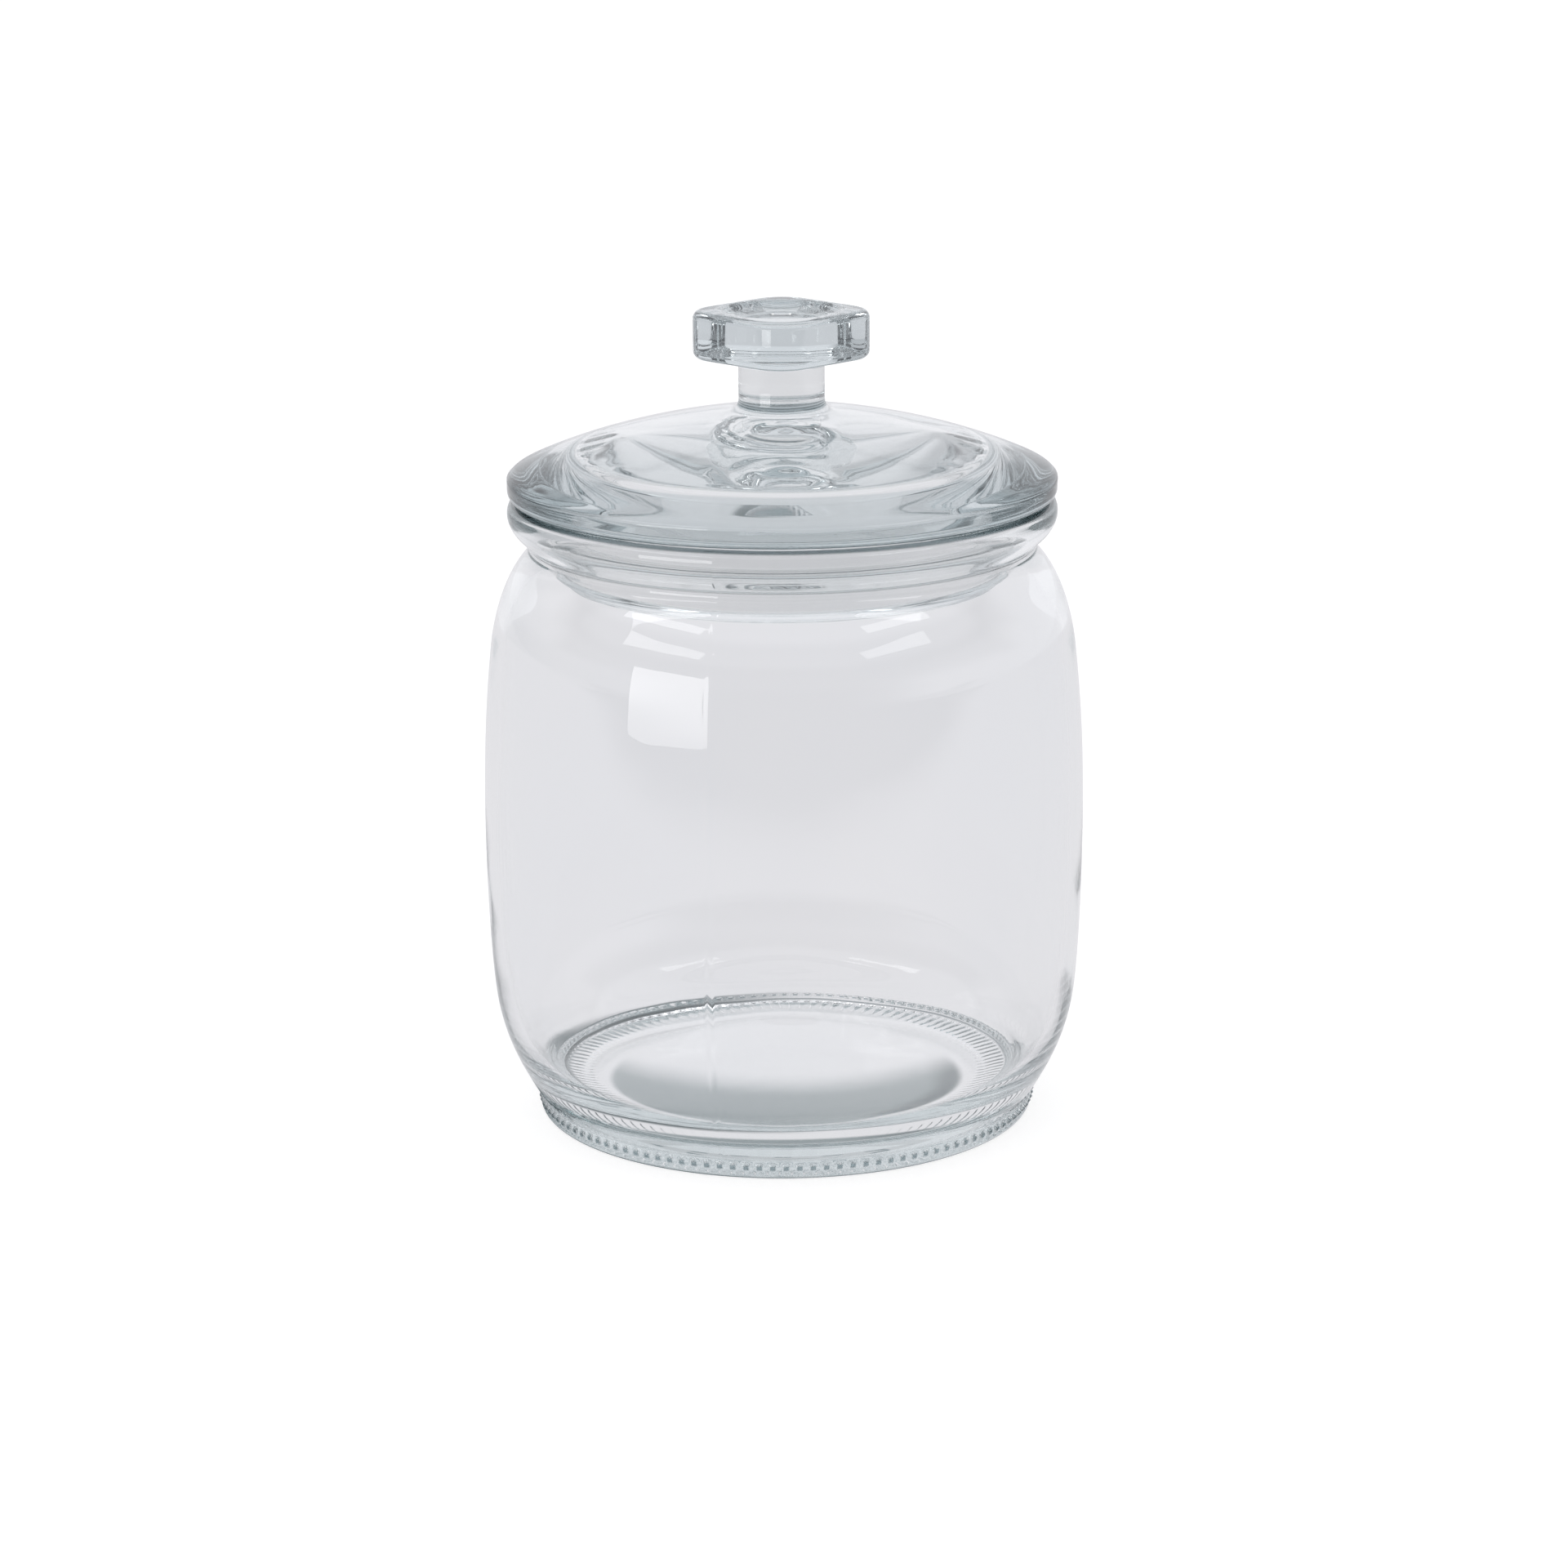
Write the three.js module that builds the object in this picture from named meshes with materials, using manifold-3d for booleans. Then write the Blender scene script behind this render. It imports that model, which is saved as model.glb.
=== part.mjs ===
// Apothecary jar: a barrel-shaped glass jar, a pressed glass lid with a stem knob, and the soft ring that seals them.
// Millimetres, +Z up. The origin is the middle of the resting plane under the foot.
import * as THREE from "three";
import { mergeVertices } from "three/addons/utils/BufferGeometryUtils.js";
import Module from "manifold-3d";

const wasm = await Module();
wasm.setup();

// Driving dimensions.
const SEGMENTS = 48; // facets round every turned surface
const CURVE_STEPS = 6; // straight steps in one long curve of a profile
const FIT_GAP = 0.3; // clearance left where two pieces touch in real use

// Jar.
const FOOT_RADIUS = 60.6;
const FOOT_HEIGHT = 4.8;
const HEEL_ROUND = 1.6;
const BEARING_INNER_RADIUS = 51;
const RECESS_HEIGHT = 1.4; // height of the push-up under the middle of the base
const BELLY_RADIUS = 72.8;
const BELLY_Z = 74;
const NECK_RADIUS = 61;
const NECK_Z = 140.8;
const BEAD_RADIUS = 66;
const RIM_Z = 151.9;
const MOUTH_RADIUS = 57.6;
const WALL = 3.2;
const FLOOR_RADIUS = 46;
const FLOOR_Z = 8.4;
const FLOOR_CENTRE_Z = 10.6;

// Lid.
const LID_RADIUS = 65.9;
const LID_BOTTOM_Z = RIM_Z + FIT_GAP;
const LID_EDGE_TOP_Z = 156;
const COLLAR_OUTER_RADIUS = 54.6;
const COLLAR_INNER_RADIUS = 49.8;
const COLLAR_LIP_RADIUS = 55.5;
const COLLAR_BOTTOM_Z = 132.6;
const LIP_TOP_Z = 134.2;
const STEM_RADIUS = 10.3;
const UNDERSIDE_Z = 162; // middle of the plate's nearly flat underside
const KNOB_BOTTOM_Z = 185.4;
const KNOB_TOP_Z = 197;
const KNOB_HALF_SIDE = 17.5;
const KNOB_CORNER = 9;
const KNOB_EDGE = 2;
const DISH_RADIUS = 14.5;
const DISH_DEPTH = 2.6;

// Seal ring.
const SEAL_INNER_RADIUS = COLLAR_OUTER_RADIUS + FIT_GAP;
const SEAL_OUTER_RADIUS = 56.2;
const FIN_RADIUS = 57.25;
const FIN_Z = [137.2, 143.2, 149.2];
const FIN_HALF_HEIGHT = 0.9;
const SEAL_BOTTOM_Z = LIP_TOP_Z + FIT_GAP;
const SEAL_TOP_Z = LID_BOTTOM_Z - FIT_GAP;

// Profiles are lists of stretches: a point [r, z], or a cubic curve { to, by } that starts where the last one ended.
function profile(stretches) {
  const points = [];
  for (const stretch of stretches) {
    if (Array.isArray(stretch)) {
      points.push(new THREE.Vector2(...stretch));
      continue;
    }
    const start = points[points.length - 1];
    const [first, second] = stretch.by.map((xy) => new THREE.Vector2(...xy));
    const end = new THREE.Vector2(...stretch.to);
    const curve = new THREE.CubicBezierCurve(start, first, second, end);
    points.push(...curve.getPoints(stretch.steps ?? CURVE_STEPS).slice(1));
  }
  return points;
}

function solidFrom(geometry) {
  const bare = new THREE.BufferGeometry();
  bare.setAttribute("position", geometry.getAttribute("position"));
  if (geometry.index) bare.setIndex(geometry.index);
  const merged = mergeVertices(bare, 1e-4);
  const mesh = new wasm.Mesh({
    numProp: 3,
    vertProperties: merged.attributes.position.array,
    triVerts: new Uint32Array(merged.index.array),
  });
  return new wasm.Manifold(mesh);
}

// A turned solid about +Z from an anticlockwise profile in the r, z plane.
function turned(stretches) {
  const geometry = new THREE.LatheGeometry(profile(stretches), SEGMENTS);
  geometry.rotateX(Math.PI / 2);
  return solidFrom(geometry);
}

function geometryFrom(solid) {
  const mesh = solid.getMesh();
  const geometry = new THREE.BufferGeometry();
  const positions = new THREE.BufferAttribute(mesh.vertProperties.slice(), 3);
  geometry.setAttribute("position", positions);
  geometry.setIndex(new THREE.BufferAttribute(mesh.triVerts.slice(), 1));
  geometry.computeVertexNormals();
  return geometry;
}

function piece(name, solid, look) {
  const mesh = new THREE.Mesh(geometryFrom(solid), new THREE.MeshStandardMaterial(look));
  mesh.name = name;
  return mesh;
}

// Jar body: push-up base, foot with a rounded heel, barrel wall, short neck and rolled bead, then the inside back down.
function jarBody() {
  return turned([
    [0, RECESS_HEIGHT],
    { by: [[12, RECESS_HEIGHT], [30, 0.8]], to: [BEARING_INNER_RADIUS, 0], steps: 4 },
    [FOOT_RADIUS - HEEL_ROUND, 0],
    { by: [[FOOT_RADIUS - 0.7, 0], [FOOT_RADIUS, 0.7]], to: [FOOT_RADIUS, HEEL_ROUND], steps: 3 },
    [FOOT_RADIUS, FOOT_HEIGHT],
    [FOOT_RADIUS + 0.6, FOOT_HEIGHT + 0.5],
    { by: [[65.5, 12.5], [70, 20]], to: [71.2, 32] },
    { by: [[72.3, 43], [BELLY_RADIUS, 58]], to: [BELLY_RADIUS, BELLY_Z], steps: 4 },
    { by: [[BELLY_RADIUS, 92], [71.9, 104]], to: [70.6, 116], steps: 4 },
    { by: [[69.9, 122.5], [67.6, 131.8]], to: [62.4, 137.9] },
    [NECK_RADIUS, NECK_Z],
    { by: [[NECK_RADIUS, 142], [62.4, 142.7]], to: [64, 144.4], steps: 3 },
    { by: [[65.2, 145.7], [BEAD_RADIUS, 147.2]], to: [BEAD_RADIUS, 149], steps: 3 },
    { by: [[BEAD_RADIUS, 150.8], [65.4, RIM_Z]], to: [64, RIM_Z], steps: 3 },
    [59.2, RIM_Z],
    { by: [[58.2, RIM_Z], [MOUTH_RADIUS, 151.4]], to: [MOUTH_RADIUS, 150.2], steps: 2 },
    [MOUTH_RADIUS, 138.6],
    { by: [[MOUTH_RADIUS, 134.6], [66.4, 129]], to: [67.2, 115.6], steps: 6 },
    { by: [[68.4, 104], [BELLY_RADIUS - WALL, 92]], to: [BELLY_RADIUS - WALL, BELLY_Z], steps: 4 },
    { by: [[BELLY_RADIUS - WALL, 58], [69, 43]], to: [67.6, 32], steps: 4 },
    { by: [[66, 20], [61, FLOOR_Z]], to: [FLOOR_RADIUS, FLOOR_Z], steps: 7 },
    { by: [[30, FLOOR_Z], [16, FLOOR_CENTRE_Z]], to: [0, FLOOR_CENTRE_Z], steps: 4 },
  ]);
}

// Rounded square bar along Z, turned so that its corners point along X and Y.
function knobPlan(inset) {
  const reach = KNOB_HALF_SIDE - inset;
  const corner = KNOB_CORNER - inset;
  const centre = reach - corner;
  const plan = new THREE.Shape();
  plan.absarc(centre, centre, corner, 0, Math.PI / 2);
  plan.absarc(-centre, centre, corner, Math.PI / 2, Math.PI);
  plan.absarc(-centre, -centre, corner, Math.PI, Math.PI * 1.5);
  plan.absarc(centre, -centre, corner, Math.PI * 1.5, Math.PI * 2);
  return plan;
}

function knobBar() {
  const bar = new THREE.ExtrudeGeometry(knobPlan(KNOB_EDGE), {
    depth: KNOB_TOP_Z - KNOB_BOTTOM_Z - 2 * KNOB_EDGE,
    bevelThickness: KNOB_EDGE,
    bevelSize: KNOB_EDGE,
    bevelSegments: 3,
    curveSegments: 7,
  });
  bar.rotateZ(Math.PI / 4);
  bar.translate(0, 0, KNOB_BOTTOM_Z + KNOB_EDGE);
  return solidFrom(bar);
}

// Lid: flat seat, domed plate, hollow plug collar with a lip that keeps the seal on, solid stem and dished knob.
function lid() {
  const turnedPart = turned([
    [0, UNDERSIDE_Z],
    { by: [[16, UNDERSIDE_Z], [32, 160.9]], to: [46, 159.5], steps: 5 },
    { by: [[48.6, 159.2], [COLLAR_INNER_RADIUS, 158]], to: [COLLAR_INNER_RADIUS, 155.6], steps: 4 },
    [COLLAR_INNER_RADIUS + 0.6, COLLAR_BOTTOM_Z + 0.6],
    [COLLAR_INNER_RADIUS + 1.2, COLLAR_BOTTOM_Z],
    [COLLAR_LIP_RADIUS - 0.5, COLLAR_BOTTOM_Z],
    [COLLAR_LIP_RADIUS, COLLAR_BOTTOM_Z + 0.5],
    [COLLAR_LIP_RADIUS, LIP_TOP_Z],
    [COLLAR_OUTER_RADIUS, LIP_TOP_Z],
    [COLLAR_OUTER_RADIUS, LID_BOTTOM_Z],
    [64.4, LID_BOTTOM_Z],
    { by: [[65.4, LID_BOTTOM_Z], [LID_RADIUS, 152.8]], to: [LID_RADIUS, 154], steps: 3 },
    [LID_RADIUS, LID_EDGE_TOP_Z],
    { by: [[LID_RADIUS, 157.6], [65.2, 158.3]], to: [63.4, 159.2], steps: 3 },
    { by: [[52, 164.4], [36, 169.6]], to: [13.6, 172.6], steps: 8 },
    { by: [[11.6, 172.9], [STEM_RADIUS, 173.8]], to: [STEM_RADIUS, 175.8], steps: 3 },
    [STEM_RADIUS, KNOB_BOTTOM_Z - 2],
    { by: [[STEM_RADIUS, KNOB_BOTTOM_Z - 0.8], [11, KNOB_BOTTOM_Z]], to: [12.4, KNOB_BOTTOM_Z], steps: 3 },
    [12.4, KNOB_BOTTOM_Z + 3],
    [0, KNOB_BOTTOM_Z + 3],
  ]);
  const dish = turned([
    [0, KNOB_TOP_Z - DISH_DEPTH],
    { by: [[8, KNOB_TOP_Z - DISH_DEPTH], [11.5, KNOB_TOP_Z - 2]], to: [DISH_RADIUS, KNOB_TOP_Z], steps: 5 },
    [DISH_RADIUS, KNOB_TOP_Z + 1],
    [0, KNOB_TOP_Z + 1],
  ]);
  return turnedPart.add(knobBar()).subtract(dish);
}

// Seal ring: a soft tube round the collar with thin fins that press against the mouth.
function sealRing() {
  const outside = FIN_Z.flatMap((z) => [
    [SEAL_OUTER_RADIUS, z - FIN_HALF_HEIGHT],
    [FIN_RADIUS, z - 0.3],
    [FIN_RADIUS, z + 0.3],
    [SEAL_OUTER_RADIUS, z + FIN_HALF_HEIGHT],
  ]);
  return turned([
    [SEAL_INNER_RADIUS, SEAL_BOTTOM_Z],
    [SEAL_OUTER_RADIUS, SEAL_BOTTOM_Z],
    ...outside,
    [SEAL_OUTER_RADIUS, SEAL_TOP_Z],
    [SEAL_INNER_RADIUS, SEAL_TOP_Z],
    [SEAL_INNER_RADIUS, SEAL_BOTTOM_Z],
  ]);
}

const group = new THREE.Group();
group.name = "apothecary_jar";
group.add(piece("jar_body", jarBody(), { color: 0xdfe6e6, roughness: 0.05, metalness: 0 }));
group.add(piece("lid", lid(), { color: 0xc6d2d4, roughness: 0.05, metalness: 0 }));
group.add(piece("seal_ring", sealRing(), { color: 0xe6e4df, roughness: 0.4, metalness: 0 }));

export default group;
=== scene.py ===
"""Apothecary jar: barrel-shaped glass jar, pressed glass lid with a stem knob, and a soft seal ring."""
import math

import bpy
import numpy as np
from mathutils import Euler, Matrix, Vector, noise


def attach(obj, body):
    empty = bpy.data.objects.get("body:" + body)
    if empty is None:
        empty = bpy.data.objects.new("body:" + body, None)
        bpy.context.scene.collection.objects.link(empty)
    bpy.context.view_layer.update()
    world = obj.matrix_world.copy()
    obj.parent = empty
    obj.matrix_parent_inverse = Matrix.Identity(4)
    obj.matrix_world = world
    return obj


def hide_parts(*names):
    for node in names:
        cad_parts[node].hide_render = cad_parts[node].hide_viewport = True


MM = 0.001
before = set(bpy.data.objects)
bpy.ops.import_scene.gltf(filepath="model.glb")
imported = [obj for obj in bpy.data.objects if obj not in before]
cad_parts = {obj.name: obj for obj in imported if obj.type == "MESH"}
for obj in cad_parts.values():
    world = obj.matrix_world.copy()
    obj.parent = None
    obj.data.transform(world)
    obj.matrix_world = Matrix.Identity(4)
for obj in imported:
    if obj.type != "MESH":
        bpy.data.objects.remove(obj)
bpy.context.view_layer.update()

# Driving dimensions, in millimetres, the same as the CAD's.
FOOT_RADIUS = 60.6
FOOT_HEIGHT = 4.8
HEEL_ROUND = 1.6
BEARING_INNER_RADIUS = 51
RECESS_HEIGHT = 1.4
BELLY_RADIUS = 72.8
BELLY_Z = 74
NECK_RADIUS = 61
NECK_Z = 140.8
BEAD_RADIUS = 66
RIM_Z = 151.9
MOUTH_RADIUS = 57.6
WALL = 3.2
FLOOR_RADIUS = 46
FLOOR_Z = 8.4
FLOOR_CENTRE_Z = 10.6

LID_RADIUS = 65.9
LID_BOTTOM_Z = 152.2
COLLAR_OUTER_RADIUS = 54.6
COLLAR_INNER_RADIUS = 49.8
COLLAR_LIP_RADIUS = 55.5
COLLAR_BOTTOM_Z = 132.6
LIP_TOP_Z = 134.2
STEM_RADIUS = 10.3
UNDERSIDE_Z = 162
KNOB_BOTTOM_Z = 185.4
KNOB_TOP_Z = 197
KNOB_HALF_SIDE = 17.5
KNOB_CORNER = 9
KNOB_EDGE = 2
DISH_RADIUS = 14.5
DISH_DEPTH = 2.6
CURL_EAST, CURL_NORTH = 1, -7  # middle of the curled mark on the lid's underside
CURL_RADIUS = 12
CURL_WIDTH = 4.5

SEAL_INNER_RADIUS = 54.9
SEAL_OUTER_RADIUS = 56.2
FIN_RADIUS = 57.25
FIN_Z = (137.2, 143.2, 149.2)
SEAL_BOTTOM_Z = 134.5
SEAL_TOP_Z = 151.9

SEGMENTS = 720  # steps round each turned piece
SEAM_ANGLE = math.radians(-90 - 14)  # where the front mould seam runs, seen from above
STIPPLE_COUNT = 120

JAR_DEPTH = (0.22, 0.36, 0.375)  # colour that thick glass takes on
LID_DEPTH = (0.28, 0.37, 0.39)

# Painted shade: darker rings painted into the glass colour where shade falls, each (height, half width, least
# radius, tint, number of dots). 0 is a whole ring.
SHADE_DARK = (0.08, 0.11, 0.12)
SHADE_GREY = (0.19, 0.25, 0.27)
SHADE_DUSKY = (0.33, 0.4, 0.42)
SHADE_TEAL = (0.57, 0.64, 0.66)
SHADE_PALE = (0.8, 0.845, 0.86)
# Painted contact shadow: a dark ring round the bottom of the heel.
HEEL_SHADOW = (0, 1.0, 59, SHADE_DARK, 0)
# Painted shade darkening the stipple dots round the heel.
STIPPLE_SHADE = (3.0, 0.9, 59, SHADE_GREY, STIPPLE_COUNT)
# Painted shade in the seam between the jar's rim and the lid.
JAR_SLIT_SHADE = (RIM_Z, 0.9, 62.5, SHADE_DARK, 0)
LID_SLIT_SHADE = (LID_BOTTOM_Z, 1.1, 62, SHADE_DARK, 0)
# Painted shade on the lid: its outer edge, the foot of the stem, under the knob and over the knob.
LID_EDGE_SHADE = (156, 12, 55, SHADE_TEAL, 0)
STEM_FOOT_SHADE = (174.8, 0.8, 9.8, SHADE_DUSKY, 0)
UNDER_KNOB_SHADE = (KNOB_BOTTOM_Z, 0.7, 11.5, SHADE_DUSKY, 0)
KNOB_SHADE = (191.2, 12, 12.5, SHADE_PALE, 0)

# Studio, in metres and degrees. The camera sees the floor's glow and diffuse colours, the glass the others.
JAR_MIDDLE = (0, 0, 0.1)
CAMERA_PLACE = (0, -1.065, 0.365)
CAMERA_DIP = 14.96
CAMERA_ROLL = -0.35
CAMERA_LENS = 103.8
FLOOR_GLOW = (0.8, 0.8, 0.8)
FLOOR_DIFFUSE = (0.35, 0.35, 0.35)
FLOOR_BOUNCED = (0.79, 0.785, 0.81)
FLOOR_SHADE = (0.27, 0.31, 0.325)  # under the near half of the base
FLOOR_RIM_SHADE = (0.1, 0.13, 0.14)  # the painted shade's dark right end, and a painted shadow by the left half of the heel's edge
SHADE_MIDDLE = (0, -0.008, 0)
SHADE_SAG = 8.6  # how much the shade's far edge dips in the middle, per metre across squared
ROOM_LIT = (0.93, 0.93, 0.96)
ROOM_DARK = (0.1, 0.105, 0.115)
ROOM_FRONT = (0.12, 0.125, 0.135)
ROOM_LEFT = (0.6, 0.61, 0.635)


# ---------------------------------------------------------------- shape code

def profile(stretches, step=2.0):
    """Points of an outline in the r, z plane. A corner is (r, z), a cubic curve (control, control, end)."""
    points = [np.array(stretches[0], float)]
    for stretch in stretches[1:]:
        start = points[-1]
        if np.isscalar(stretch[0]):
            end = np.array(stretch, float)
            count = max(1, round(np.linalg.norm(end - start) / (2 * step)))
            points += [start + (end - start) * i / count for i in range(1, count + 1)]
            continue
        first, second, end = (np.array(p, float) for p in stretch)
        length = np.linalg.norm(first - start) + np.linalg.norm(second - first) + np.linalg.norm(end - second)
        count = max(6, round(length / step))
        for i in range(1, count + 1):
            t = i / count
            s = 1 - t
            points.append(s**3 * start + 3 * s * s * t * first + 3 * s * t * t * second + t**3 * end)
    return np.array(points)


def turned_grid(points):
    """Radius, height and angle of every vertex of a turned surface, as grids of rings by segments."""
    angles = np.linspace(0, 2 * math.pi, SEGMENTS, endpoint=False)
    radius = np.repeat(points[:, :1], SEGMENTS, axis=1)
    height = np.repeat(points[:, 1:], SEGMENTS, axis=1)
    return radius, height, np.repeat(angles[None, :], len(points), axis=0)


def add_piece(name, radius, height, angle, closed, body, node, slot, material):
    """Skins the grid into a closed smooth mesh, in metres. An open outline starts and ends on the axis."""
    rings, segments = radius.shape
    grid = np.stack([radius * np.cos(angle), radius * np.sin(angle), height], axis=-1) * MM
    index = np.arange(rings * segments).reshape(rings, segments)
    beside = np.roll(index, -1, axis=1)
    faces = []
    if closed:
        vertices = grid.reshape(-1, 3)
        above, above_beside = np.roll(index, -1, axis=0), np.roll(beside, -1, axis=0)
        quads = np.stack([index, beside, above_beside, above], axis=-1).reshape(-1, 4)
        faces += quads.tolist()
    else:
        inner = grid[1:-1].reshape(-1, 3)
        vertices = np.vstack([inner, grid[:1, 0], grid[-1:, 0]])
        body_index, body_beside = index[:-2], beside[:-2]
        low, high = len(inner), len(inner) + 1
        quads = np.stack([body_index[:-1], body_beside[:-1], body_beside[1:], body_index[1:]], axis=-1)
        faces += quads.reshape(-1, 4).tolist()
        faces += [[low, b, a] for a, b in zip(body_index[0].tolist(), body_beside[0].tolist())]
        faces += [[high, a, b] for a, b in zip(body_index[-1].tolist(), body_beside[-1].tolist())]
    mesh = bpy.data.meshes.new(name)
    mesh.from_pydata(vertices.tolist(), [], faces)
    mesh.polygons.foreach_set("use_smooth", np.ones(len(mesh.polygons), bool))
    mesh.materials.append(material)
    mesh.update()
    piece = bpy.data.objects.new(name, mesh)
    bpy.context.scene.collection.objects.link(piece)
    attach(piece, body)
    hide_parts(node)
    return piece


def bump_at(value, centre, width):
    """1 at the centre, falling smoothly to 0 at width on either side."""
    share = np.clip(1 - np.abs(value - centre) / width, 0, 1)
    return share**2 * (3 - 2 * share)


def angle_from(angle, centre):
    """Signed difference of two angles, between -pi and pi."""
    return (angle - centre + math.pi) % (2 * math.pi) - math.pi


def waviness(radius, height, angle, size, seed):
    """Slow swell of glass that was not cut or ground, between about -1 and 1."""
    swell = np.zeros_like(radius)
    for ring in range(radius.shape[0]):
        for column in range(0, radius.shape[1], 4):  # every fourth column, with straight lines between
            a, r, z = angle[ring, column], radius[ring, column] / size, height[ring, column] / size
            swell[ring, column] = noise.noise((r * math.cos(a), r * math.sin(a), z + seed))
    ends = np.roll(swell[:, ::4], -1, axis=1)
    for offset in (1, 2, 3):
        swell[:, offset::4] = swell[:, ::4] + (ends - swell[:, ::4]) * offset / 4
    return swell


# ---------------------------------------------------------------- materials

def shader_nodes(name):
    material = bpy.data.materials.new(name)
    material.use_nodes = True
    tree = material.node_tree
    return material, tree, tree.nodes["Principled BSDF"]


def add_node(tree, kind, **settings):
    node = tree.nodes.new(kind)
    for name, value in settings.items():
        setattr(node, name, value)
    return node


def part_of(tree, vector, axis):
    parts = add_node(tree, "ShaderNodeSeparateXYZ")
    tree.links.new(vector, parts.inputs[0])
    return parts.outputs[axis]


def eased(tree, value, nought, one):
    """0 on one side of a band and 1 on the other, with a smooth change between."""
    band = add_node(tree, "ShaderNodeMapRange", interpolation_type="SMOOTHSTEP")
    flipped = nought > one
    band.inputs["From Min"].default_value = one if flipped else nought
    band.inputs["From Max"].default_value = nought if flipped else one
    band.inputs["To Min"].default_value = 1 if flipped else 0
    band.inputs["To Max"].default_value = 0 if flipped else 1
    tree.links.new(value, band.inputs["Value"])
    return band.outputs["Result"]


def joined(tree, operation, first, second):
    node = add_node(tree, "ShaderNodeMath", operation=operation)
    tree.links.new(first, node.inputs[0])
    tree.links.new(second, node.inputs[1])
    return node.outputs[0]


def blended(tree, share, first, second):
    """Colour mix; each colour is a tuple or another node's output."""
    mix = add_node(tree, "ShaderNodeMix", data_type="RGBA")
    tree.links.new(share, mix.inputs["Factor"])
    for colour, name in ((first, "A"), (second, "B")):
        if isinstance(colour, tuple):
            mix.inputs[name].default_value = (*colour, 1)
        else:
            tree.links.new(colour, mix.inputs[name])
    return mix.outputs["Result"]


def changed(tree, operation, value, number=0.0):
    node = add_node(tree, "ShaderNodeMath", operation=operation)
    node.inputs[1].default_value = number
    tree.links.new(value, node.inputs[0])
    return node.outputs[0]


def noise_node(tree, scale, detail, roughness=0.5):
    coordinates = tree.nodes.new("ShaderNodeTexCoord")
    texture = tree.nodes.new("ShaderNodeTexNoise")
    texture.inputs["Scale"].default_value = scale
    texture.inputs["Detail"].default_value = detail
    texture.inputs["Roughness"].default_value = roughness
    tree.links.new(coordinates.outputs["Object"], texture.inputs["Vector"])
    return texture


def ramp_node(tree, source, stops):
    ramp = tree.nodes.new("ShaderNodeValToRGB")
    ramp.color_ramp.elements[0].position, ramp.color_ramp.elements[0].color = stops[0]
    ramp.color_ramp.elements[1].position, ramp.color_ramp.elements[1].color = stops[1]
    tree.links.new(source, ramp.inputs["Fac"])
    return ramp


def painted_ring_shade(tree, colour, rings):
    """Painted shade: darkens the glass colour in rings round the axis, whole or broken into dots."""
    place = add_node(tree, "ShaderNodeTexCoord").outputs["Object"]
    flat = add_node(tree, "ShaderNodeVectorMath", operation="MULTIPLY")
    flat.inputs[1].default_value = (1, 1, 0)
    tree.links.new(place, flat.inputs[0])
    reach = add_node(tree, "ShaderNodeVectorMath", operation="LENGTH")
    tree.links.new(flat.outputs["Vector"], reach.inputs[0])
    angle = joined(tree, "ARCTAN2", part_of(tree, place, "Y"), part_of(tree, place, "X"))
    for height, half_width, least, tint, dots in rings:
        away = changed(tree, "ABSOLUTE", changed(tree, "SUBTRACT", part_of(tree, place, "Z"), height * MM))
        near = eased(tree, away, half_width * MM, half_width * MM * 0.4)
        outer = eased(tree, reach.outputs["Value"], least * MM, (least + 1) * MM)
        share = joined(tree, "MULTIPLY", near, outer)
        if dots:
            beat = changed(tree, "COSINE", changed(tree, "MULTIPLY", angle, dots))
            share = joined(tree, "MULTIPLY", share, eased(tree, beat, -0.1, 0.6))
        colour = blended(tree, share, colour, tint)
    return colour


def painted_curl_shade(tree, colour):
    """Painted shade: two dark arcs on the underside, on the flanks of the curled ridge below the stem."""
    shifted = add_node(tree, "ShaderNodeVectorMath", operation="SUBTRACT")
    shifted.inputs[1].default_value = (CURL_EAST * MM, CURL_NORTH * MM, 0)
    place = add_node(tree, "ShaderNodeTexCoord").outputs["Object"]
    tree.links.new(place, shifted.inputs[0])
    east, north = part_of(tree, shifted.outputs["Vector"], "X"), part_of(tree, shifted.outputs["Vector"], "Y")
    square = joined(tree, "ADD", joined(tree, "MULTIPLY", east, east), joined(tree, "MULTIPLY", north, north))
    reach = changed(tree, "POWER", square, 0.5)
    from_crest = changed(tree, "ABSOLUTE", changed(tree, "SUBTRACT", reach, CURL_RADIUS * MM))
    from_flank = changed(tree, "ABSOLUTE", changed(tree, "SUBTRACT", from_crest, CURL_WIDTH / 2 * MM))
    arc = joined(tree, "MULTIPLY", eased(tree, from_flank, 0.0008, 0.0003), eased(tree, east, 0.007, 0.002))
    below = eased(tree, part_of(tree, place, "Z"), (UNDERSIDE_Z + 3) * MM, (UNDERSIDE_Z + 2) * MM)
    return blended(tree, joined(tree, "MULTIPLY", arc, below), colour, SHADE_DARK)


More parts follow.
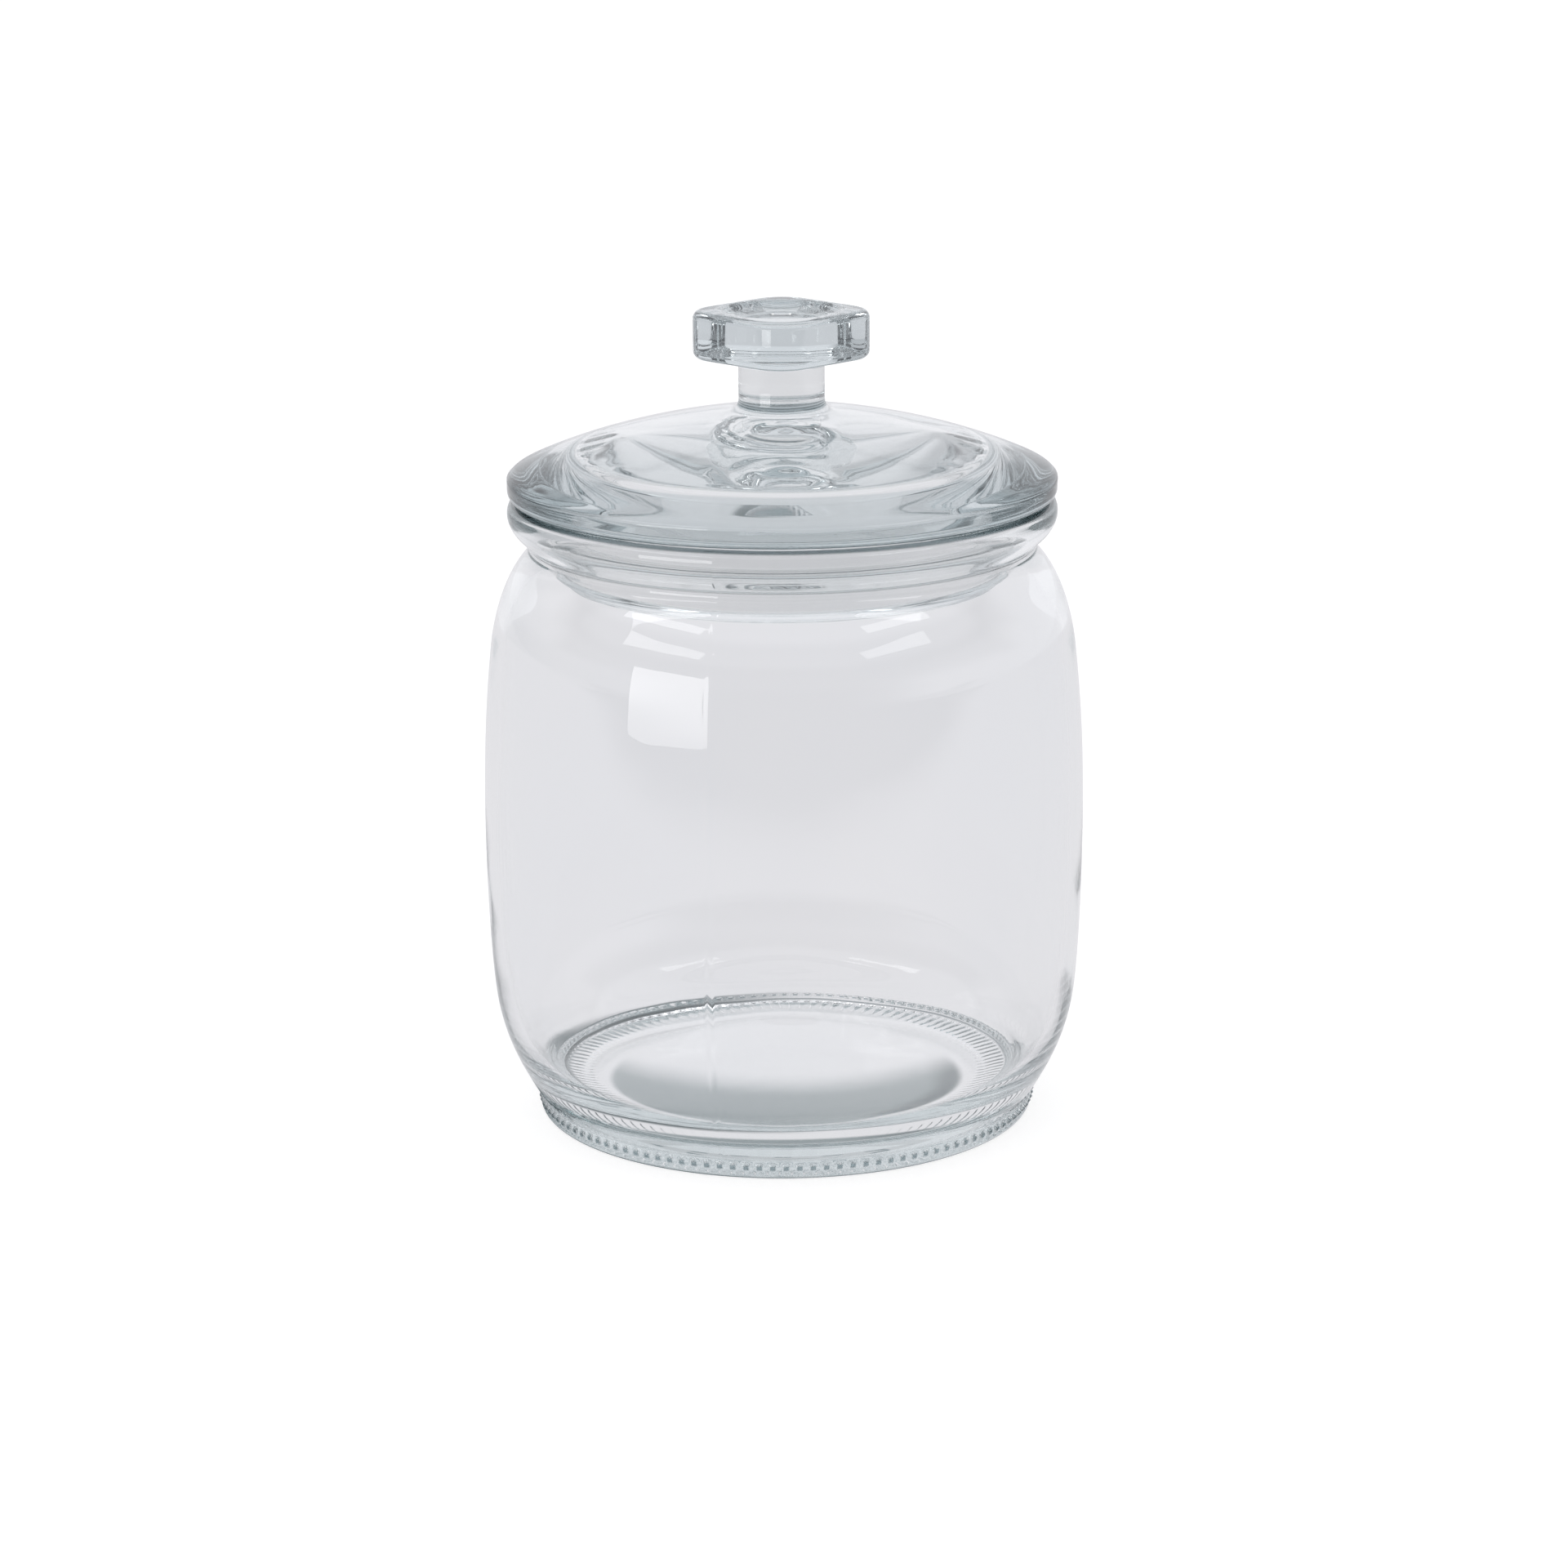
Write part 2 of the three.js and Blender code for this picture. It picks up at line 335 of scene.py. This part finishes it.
def glass(name, clear, tinted, absorbed, density, wave_height, rings, curled=False):
    """Soda-lime glass: a faint uneven tint, painted shade in rings (and, for the lid, arcs by the curl), fine
    wipe marks in its gloss, and a grey-green depth colour.
    """
    material, tree, shader = shader_nodes(name)
    shader.inputs["Transmission Weight"].default_value = 1
    shader.inputs["IOR"].default_value = 1.5
    tint = ramp_node(tree, noise_node(tree, 14, 2).outputs["Fac"], [(0.35, (*tinted, 1)), (0.7, (*clear, 1))])
    colour = painted_ring_shade(tree, tint.outputs["Color"], rings)
    # Painted shade: dark arcs beside the curl on the lid's underside.
    if curled:
        colour = painted_curl_shade(tree, colour)
    tree.links.new(colour, shader.inputs["Base Color"])
    marks = noise_node(tree, 55, 4, 0.65)
    gloss = ramp_node(tree, marks.outputs["Fac"], [(0.45, (0.004,) * 3 + (1,)), (0.85, (0.03,) * 3 + (1,))])
    tree.links.new(gloss.outputs["Color"], shader.inputs["Roughness"])
    bump = tree.nodes.new("ShaderNodeBump")
    bump.inputs["Strength"].default_value = 0.5
    bump.inputs["Distance"].default_value = wave_height
    tree.links.new(noise_node(tree, 30, 1.5).outputs["Fac"], bump.inputs["Height"])
    tree.links.new(bump.outputs["Normal"], shader.inputs["Normal"])
    depth = tree.nodes.new("ShaderNodeVolumeAbsorption")
    depth.inputs["Color"].default_value = (*absorbed, 1)
    depth.inputs["Density"].default_value = density
    tree.links.new(depth.outputs["Volume"], tree.nodes["Material Output"].inputs["Volume"])
    return material


def seal_material():
    """Soft milky plastic that lets light through, with faint moulding marks."""
    material, tree, shader = shader_nodes("soft_seal")
    shader.inputs["IOR"].default_value = 1.4
    shader.inputs["Alpha"].default_value = 0.1
    stops = [(0.3, (0.98, 0.975, 0.965, 1)), (0.75, (0.995, 0.99, 0.98, 1))]
    tint = ramp_node(tree, noise_node(tree, 40, 3).outputs["Fac"], stops)
    tree.links.new(tint.outputs["Color"], shader.inputs["Base Color"])
    gloss = ramp_node(
        tree, noise_node(tree, 160, 4).outputs["Fac"], [(0.3, (0.06,) * 3 + (1,)), (0.8, (0.18,) * 3 + (1,))]
    )
    tree.links.new(gloss.outputs["Color"], shader.inputs["Roughness"])
    bump = tree.nodes.new("ShaderNodeBump")
    bump.inputs["Strength"].default_value = 0.3
    bump.inputs["Distance"].default_value = 0.0001
    tree.links.new(noise_node(tree, 220, 2).outputs["Fac"], bump.inputs["Height"])
    tree.links.new(bump.outputs["Normal"], shader.inputs["Normal"])
    return material


# ---------------------------------------------------------------- jar

def make_jar():
    outside = profile([
        (0, RECESS_HEIGHT),
        ((12, RECESS_HEIGHT), (30, 0.8), (BEARING_INNER_RADIUS, 0)),
        (FOOT_RADIUS - HEEL_ROUND, 0),
        ((FOOT_RADIUS - 0.7, 0), (FOOT_RADIUS, 0.7), (FOOT_RADIUS, HEEL_ROUND)),
        *((FOOT_RADIUS, float(z)) for z in np.linspace(HEEL_ROUND, FOOT_HEIGHT - 0.5, 8)[1:]),
        (
            (FOOT_RADIUS, FOOT_HEIGHT - 0.1),
            (FOOT_RADIUS + 0.1, FOOT_HEIGHT + 0.2),
            (FOOT_RADIUS + 0.6, FOOT_HEIGHT + 0.7),
        ),
        ((65.5, 12.5), (70, 20), (71.2, 32)),
        ((72.3, 43), (BELLY_RADIUS, 58), (BELLY_RADIUS, BELLY_Z)),
        ((BELLY_RADIUS, 92), (71.9, 104), (70.6, 116)),
        ((69.9, 122.5), (67.6, 131.8), (62.7, 137.6)),
        ((61.9, 138.5), (NECK_RADIUS, 139.5), (NECK_RADIUS, NECK_Z)),
        ((NECK_RADIUS, 142), (62.4, 142.7), (64, 144.4)),
        ((65.2, 145.7), (BEAD_RADIUS, 147.2), (BEAD_RADIUS, 149)),
        ((BEAD_RADIUS, 150.9), (65, RIM_Z), (63.2, RIM_Z)),
        (59.4, RIM_Z),
        ((58.3, RIM_Z), (MOUTH_RADIUS, 151.4), (MOUTH_RADIUS, 150)),
        (MOUTH_RADIUS, 139),
    ])
    inside = profile([
        (MOUTH_RADIUS, 139),
        ((MOUTH_RADIUS, 134.6), (66.4, 129), (67.2, 115.6)),
        ((68.4, 104), (BELLY_RADIUS - WALL, 92), (BELLY_RADIUS - WALL, BELLY_Z)),
        ((BELLY_RADIUS - WALL, 58), (69, 43), (67.6, 32)),
        ((66, 20), (61, FLOOR_Z), (FLOOR_RADIUS, FLOOR_Z)),
        ((30, FLOOR_Z), (16, FLOOR_CENTRE_Z), (0, FLOOR_CENTRE_Z)),
    ])
    inner_start = len(outside)
    radius, height, angle = turned_grid(np.vstack([outside, inside[1:]]))
    on_inside = np.arange(len(radius))[:, None] >= inner_start

    # The inner face of a blown jar swells and thins slowly; the moulded outside is truer.
    swell = waviness(radius, height, angle, 34, 3.0)
    wall_part = bump_at(height, 70, 66) * (radius > 30)
    radius += swell * wall_part * np.where(on_inside, 0.55, 0.1)
    height += swell * (on_inside & (height < 14)) * np.clip(1 - radius / 60, 0, 1) * 0.4

    # Two mould seams, thin raised lines from the foot to the bead.
    for seam in (SEAM_ANGLE, SEAM_ANGLE + math.pi):
        ridge = bump_at(angle_from(angle, seam) * radius, 0, 0.7)
        radius += ridge * 0.16 * ~on_inside * (height > 0.4) * (height < 150) * (radius > 58)

    # Stippled bearing ring: dots round the heel and ticks under the foot, worn at the back left.
    worn = 1 - 0.9 * bump_at(angle_from(angle, 0.65 * math.pi), 0, 2)
    ticks = (0.5 + 0.5 * np.cos(angle * STIPPLE_COUNT)) ** 2 * worn
    radius += ticks * bump_at(height, 3.2, 1.2) * ~on_inside * (radius > 59.5) * 0.8
    under = ~on_inside & (height < 0.01)
    height += under * ticks * 0.7 * bump_at(radius, 55, 3)
    return radius, height, angle


# ---------------------------------------------------------------- lid

def rounded_square(angle, inset):
    """Distance from the axis to the edge of the knob's plan, a rounded square with corners along X and Y."""
    reach = KNOB_HALF_SIDE - inset
    corner = KNOB_CORNER - inset
    k = reach - corner
    folded = np.abs((angle + math.pi / 4 + math.pi / 4) % (math.pi / 2) - math.pi / 4)
    c, s = np.cos(folded), np.sin(folded)
    on_arc = k * (c + s) + np.sqrt(np.maximum(corner**2 - (k * (c - s)) ** 2, 0))
    return np.where(reach * s / c <= k, reach / c, on_arc)


def make_lid():
    underside = profile([
        (0, UNDERSIDE_Z),
        ((16, UNDERSIDE_Z), (32, 160.9), (46, 159.5)),
        ((48.6, 159.2), (COLLAR_INNER_RADIUS, 158), (COLLAR_INNER_RADIUS, 155.6)),
        (COLLAR_INNER_RADIUS + 0.4, COLLAR_BOTTOM_Z + 1.6),
        ((COLLAR_INNER_RADIUS + 0.5, COLLAR_BOTTOM_Z + 0.6), (51, COLLAR_BOTTOM_Z), (52, COLLAR_BOTTOM_Z)),
        (COLLAR_LIP_RADIUS - 1.2, COLLAR_BOTTOM_Z),
        ((55.2, COLLAR_BOTTOM_Z), (COLLAR_LIP_RADIUS, 132.9), (COLLAR_LIP_RADIUS, 133.4)),
        (
            (COLLAR_LIP_RADIUS, LIP_TOP_Z),
            (COLLAR_OUTER_RADIUS, LIP_TOP_Z),
            (COLLAR_OUTER_RADIUS, LIP_TOP_Z + 0.6),
        ),
        (COLLAR_OUTER_RADIUS, LID_BOTTOM_Z - 0.8),
        ((COLLAR_OUTER_RADIUS, 152), (54.9, LID_BOTTOM_Z), (55.5, LID_BOTTOM_Z)),
        (62.6, LID_BOTTOM_Z),
        ((64.8, LID_BOTTOM_Z), (LID_RADIUS, 153.2), (LID_RADIUS, 154.8)),
    ])
    topside = profile([
        (LID_RADIUS, 154.8),
        (LID_RADIUS, 156),
        ((LID_RADIUS, 157.6), (65.2, 158.3), (63.4, 159.2)),
        ((52, 164.4), (36, 169.6), (13.6, 172.6)),
        ((11.6, 172.9), (STEM_RADIUS, 173.8), (STEM_RADIUS, 175.8)),
        (STEM_RADIUS, KNOB_BOTTOM_Z - 2),
        ((STEM_RADIUS, KNOB_BOTTOM_Z - 0.8), (11, KNOB_BOTTOM_Z), (12.4, KNOB_BOTTOM_Z)),
    ])
    turned = np.vstack([underside, topside[1:]])
    radius, height, angle = turned_grid(turned)
    one_ring = angle[:1]

    # Knob: each ring is the plan drawn in by an inset, eased into a circle near the stem and the dish.
    rings = []
    stem_ring, dish_ring = np.full_like(one_ring, 12.4), np.full_like(one_ring, DISH_RADIUS)
    bottom_edge = rounded_square(one_ring, KNOB_EDGE)
    for t in np.linspace(0.15, 1, 7):
        rings.append((stem_ring + (bottom_edge - stem_ring) * t, KNOB_BOTTOM_Z))
    for turn in np.linspace(0, math.pi / 2, 9)[1:]:
        inset = KNOB_EDGE * (1 - math.sin(turn))
        rings.append((rounded_square(one_ring, inset), KNOB_BOTTOM_Z + KNOB_EDGE * (1 - math.cos(turn))))
    for turn in np.linspace(0, math.pi / 2, 9):
        inset = KNOB_EDGE * (1 - math.cos(turn))
        rings.append((rounded_square(one_ring, inset), KNOB_TOP_Z - KNOB_EDGE * (1 - math.sin(turn))))
    top_edge = rounded_square(one_ring, KNOB_EDGE)
    for t in np.linspace(0, 1, 6)[1:]:
        rings.append((top_edge + (dish_ring - top_edge) * t, KNOB_TOP_Z))
    dish = profile([
        (DISH_RADIUS, KNOB_TOP_Z),
        ((13, KNOB_TOP_Z - 1.2), (11.5, KNOB_TOP_Z - DISH_DEPTH), (7, KNOB_TOP_Z - DISH_DEPTH)),
        (0, KNOB_TOP_Z - DISH_DEPTH),
    ])
    for r, z in dish[1:]:
        rings.append((np.full_like(one_ring, r), z))
    knob_radius = np.vstack([r for r, _ in rings])
    knob_height = np.vstack([np.full_like(one_ring, z) for _, z in rings])
    radius = np.vstack([radius, knob_radius])
    height = np.vstack([height, knob_height])
    angle = np.repeat(one_ring, len(radius), axis=0)

    # Pressed glass: a soft swell everywhere and folds fanning out round the collar on the underside.
    swell = waviness(radius, height, angle, 22, 8.0)
    under = np.arange(len(radius))[:, None] < len(underside)
    plate = (radius > 14) & (radius < 49) & (height > 156)
    height += swell * plate * np.where(under, 0.12, 0.04)
    sides = np.cos(angle) ** 6
    folds = np.sin(angle * 30 + 6 * swell) * bump_at(radius, 44, 6) * sides
    height += folds * under * plate * 0.06
    # Below the stem the cooling glass left a low ridge that curls round a small hollow, open to the right.
    east, north = radius * np.cos(angle) - CURL_EAST, radius * np.sin(angle) - CURL_NORTH
    reach = np.hypot(east, north)
    curl = bump_at(reach, CURL_RADIUS, CURL_WIDTH) * np.clip((8 - east) / 5, 0, 1)
    height += (bump_at(reach, 0, 6) * 0.6 - curl * 1.3) * under * (height > 160)

    # A wavering parting line runs round the rim.
    line = 157.2 + 0.35 * swell
    radius += bump_at(height, line, 0.9) * ~under * (radius > 62) * 0.22
    return radius, height, angle


# ---------------------------------------------------------------- seal ring

def make_seal():
    low = SEAL_BOTTOM_Z
    outline = [
        (SEAL_INNER_RADIUS, low + 0.3),
        ((SEAL_INNER_RADIUS, low), (55.1, low), (55.4, low)),
        (55.8, low),
        ((56, low), (SEAL_OUTER_RADIUS, low + 0.1), (SEAL_OUTER_RADIUS, low + 0.4)),
    ]
    for z in FIN_Z:
        outline.append((SEAL_OUTER_RADIUS, z - 1.2))
        outline.append(((SEAL_OUTER_RADIUS, z - 0.6), (FIN_RADIUS, z - 0.9), (FIN_RADIUS, z)))
        outline.append(((FIN_RADIUS, z + 0.5), (SEAL_OUTER_RADIUS, z + 0.2), (SEAL_OUTER_RADIUS, z + 1)))
    outline += [(SEAL_OUTER_RADIUS, SEAL_TOP_Z), (SEAL_INNER_RADIUS, SEAL_TOP_Z)]
    points = profile(outline, 0.5)
    return turned_grid(points)


# Painted shade rings for each glass.
jar_shade_rings = (HEEL_SHADOW, STIPPLE_SHADE, JAR_SLIT_SHADE)
lid_shade_rings = (LID_EDGE_SHADE, LID_SLIT_SHADE, STEM_FOOT_SHADE, KNOB_SHADE, UNDER_KNOB_SHADE)
jar_glass = glass("jar_glass", (1, 1, 1), (0.985, 0.99, 0.995), JAR_DEPTH, 4, 0.0006, jar_shade_rings)
lid_glass = glass("lid_glass", (1, 1, 1), (0.97, 0.985, 0.985), LID_DEPTH, 4.2, 0.0008, lid_shade_rings, True)
add_piece("jar_glass_body", *make_jar(), False, "jar", "jar_body", "jar_glass", jar_glass)
add_piece("lid_glass_body", *make_lid(), False, "lid", "lid", "lid_glass", lid_glass)
add_piece("seal_ring_soft", *make_seal(), True, "seal", "seal_ring", "seal_plastic", seal_material())


# ---------------------------------------------------------------- studio

def mix_by_ray(tree, seen, bounced, out):
    """One shader where the camera sees the stage directly, another for its light and what glass shows."""
    path = add_node(tree, "ShaderNodeLightPath")
    mix = add_node(tree, "ShaderNodeMixShader")
    tree.links.new(path.outputs["Is Camera Ray"], mix.inputs["Fac"])
    tree.links.new(bounced, mix.inputs[1])
    tree.links.new(seen, mix.inputs[2])
    tree.links.new(mix.outputs[0], out.inputs["Surface"])


def make_floor():
    side = 6.0
    mesh = bpy.data.meshes.new("studio_floor")
    corners = [(-side, -side, 0), (side, -side, 0), (side, side, 0), (-side, side, 0)]
    mesh.from_pydata(corners, [], [(0, 1, 2, 3)])
    floor = bpy.data.objects.new("studio_floor", mesh)
    bpy.context.scene.collection.objects.link(floor)
    material = bpy.data.materials.new("pale_floor")
    material.use_nodes = True
    tree = material.node_tree
    tree.nodes.clear()
    glow = add_node(tree, "ShaderNodeEmission")
    glow.inputs["Color"].default_value = (*FLOOR_GLOW, 1)
    diffuse = add_node(tree, "ShaderNodeBsdfDiffuse")
    diffuse.inputs["Color"].default_value = (*FLOOR_DIFFUSE, 1)
    seen = add_node(tree, "ShaderNodeAddShader")
    tree.links.new(glow.outputs[0], seen.inputs[0])
    tree.links.new(diffuse.outputs[0], seen.inputs[1])
    bounced = add_node(tree, "ShaderNodeEmission")
    # Painted shade, seen only through the glass: a dark patch under the near half of the base, darkest at its
    # right end, and a painted shadow by the left half of the heel.
    place = add_node(tree, "ShaderNodeTexCoord").outputs["Object"]
    reach = add_node(tree, "ShaderNodeVectorMath", operation="DISTANCE")
    reach.inputs[1].default_value = SHADE_MIDDLE
    tree.links.new(place, reach.inputs[0])
    under_base = eased(tree, reach.outputs["Value"], 0.0455, 0.0425)
    across, along = part_of(tree, place, "X"), part_of(tree, place, "Y")
    sag = changed(tree, "MULTIPLY", joined(tree, "MULTIPLY", across, across), SHADE_SAG)
    near_side = eased(tree, joined(tree, "SUBTRACT", along, sag), 0.0, -0.02)
    shaded = joined(tree, "MULTIPLY", under_base, near_side)
    far_out = eased(tree, reach.outputs["Value"], 0.034, 0.041)
    rim = joined(tree, "MULTIPLY", far_out, eased(tree, across, 0.012, 0.034))
    shade = blended(tree, rim, FLOOR_SHADE, FLOOR_RIM_SHADE)
    from_axis = add_node(tree, "ShaderNodeVectorMath", operation="LENGTH")
    tree.links.new(place, from_axis.inputs[0])
    past_heel = eased(tree, from_axis.outputs["Value"], 0.057, 0.0595)
    by_heel = joined(tree, "MULTIPLY", past_heel, eased(tree, from_axis.outputs["Value"], 0.068, 0.063))
    left_heel_shadow = joined(tree, "MULTIPLY", by_heel, eased(tree, across, 0.015, -0.035))
    near_base = blended(tree, left_heel_shadow, blended(tree, shaded, FLOOR_BOUNCED, shade), FLOOR_RIM_SHADE)
    past_sweep = eased(tree, along, -0.25, -0.75)
    tree.links.new(blended(tree, past_sweep, near_base, ROOM_FRONT), bounced.inputs["Color"])
    mix_by_ray(tree, seen.outputs[0], bounced.outputs[0], add_node(tree, "ShaderNodeOutputMaterial"))
    mesh.materials.append(material)


def make_world():
    """White where seen directly. For glass: pale low band and backdrop, dark room above, bright ceiling."""
    world = bpy.data.worlds.new("studio")
    bpy.context.scene.world = world
    world.use_nodes = True
    tree = world.node_tree
    tree.nodes.clear()
    seen = add_node(tree, "ShaderNodeBackground")
    seen.inputs["Color"].default_value = (1.05, 1.05, 1.05, 1)
    direction = add_node(tree, "ShaderNodeTexCoord").outputs["Generated"]
    up, back = part_of(tree, direction, "Z"), part_of(tree, direction, "Y")
    low_band = eased(tree, up, 0.36, 0.16)
    backdrop = joined(tree, "MULTIPLY", eased(tree, back, 0.15, 0.45), eased(tree, up, 0.62, 0.5))
    ceiling = eased(tree, up, 0.5, 0.62)
    lit = joined(tree, "MAXIMUM", joined(tree, "MAXIMUM", low_band, backdrop), ceiling)
    front = joined(tree, "MULTIPLY", eased(tree, back, -0.4, -0.95), low_band)
    left = joined(tree, "MULTIPLY", eased(tree, part_of(tree, direction, "X"), -0.35, -0.8), low_band)
    room = blended(tree, left, blended(tree, lit, ROOM_DARK, ROOM_LIT), ROOM_LEFT)
    bounced = add_node(tree, "ShaderNodeBackground")
    tree.links.new(blended(tree, front, room, ROOM_FRONT), bounced.inputs["Color"])
    mix_by_ray(tree, seen.outputs[0], bounced.outputs[0], add_node(tree, "ShaderNodeOutputWorld"))


def softbox(name, width, height, azimuth, elevation, distance, glow, fades=False):
    """Rectangular lamp aimed at the jar. Azimuth 0 is the camera's side, positive is its right."""
    light = bpy.data.lights.new(name, "AREA")
    light.shape = "RECTANGLE"
    light.size, light.size_y = width, height
    light.energy = glow * math.pi * width * height
    if fades:
        light.use_nodes = True
        tree = light.node_tree
        upward = part_of(tree, add_node(tree, "ShaderNodeNewGeometry").outputs["Parametric"], "Y")
        tree.links.new(eased(tree, upward, 0.0, 0.4), tree.nodes["Emission"].inputs["Strength"])
    lamp = bpy.data.objects.new(name, light)
    lamp.visible_transmission = not fades  # a fading lamp is for reflections only
    bpy.context.scene.collection.objects.link(lamp)
    a, e = math.radians(azimuth), math.radians(elevation)
    away = Vector((math.sin(a) * math.cos(e), -math.cos(a) * math.cos(e), math.sin(e)))
    lamp.location = Vector(JAR_MIDDLE) + away * distance
    lamp.rotation_euler = away.to_track_quat("Z", "Y").to_euler()


def make_camera():
    camera = bpy.data.cameras.new("camera")
    camera.lens = CAMERA_LENS
    camera.sensor_width = 36
    camera.clip_end = 50
    holder = bpy.data.objects.new("camera", camera)
    bpy.context.scene.collection.objects.link(holder)
    holder.location = CAMERA_PLACE
    holder.rotation_euler = Euler((math.radians(90 - CAMERA_DIP), 0, 0))
    holder.rotation_euler.rotate_axis("Z", math.radians(CAMERA_ROLL))
    bpy.context.scene.camera = holder


make_camera()
make_world()
make_floor()
softbox("window_left", 0.62, 0.5, -45, 2, 1.2, 4.0, fades=True)
softbox("high_left", 0.7, 0.12, -58, 42, 1.2, 3.0)
softbox("high_right", 0.6, 0.14, 55, 42, 1.3, 2.5)

scene = bpy.context.scene
scene.view_settings.view_transform = "Standard"
scene.view_settings.look = "None"
scene.cycles.max_bounces = 96
scene.cycles.transmission_bounces = 96
scene.cycles.glossy_bounces = 96
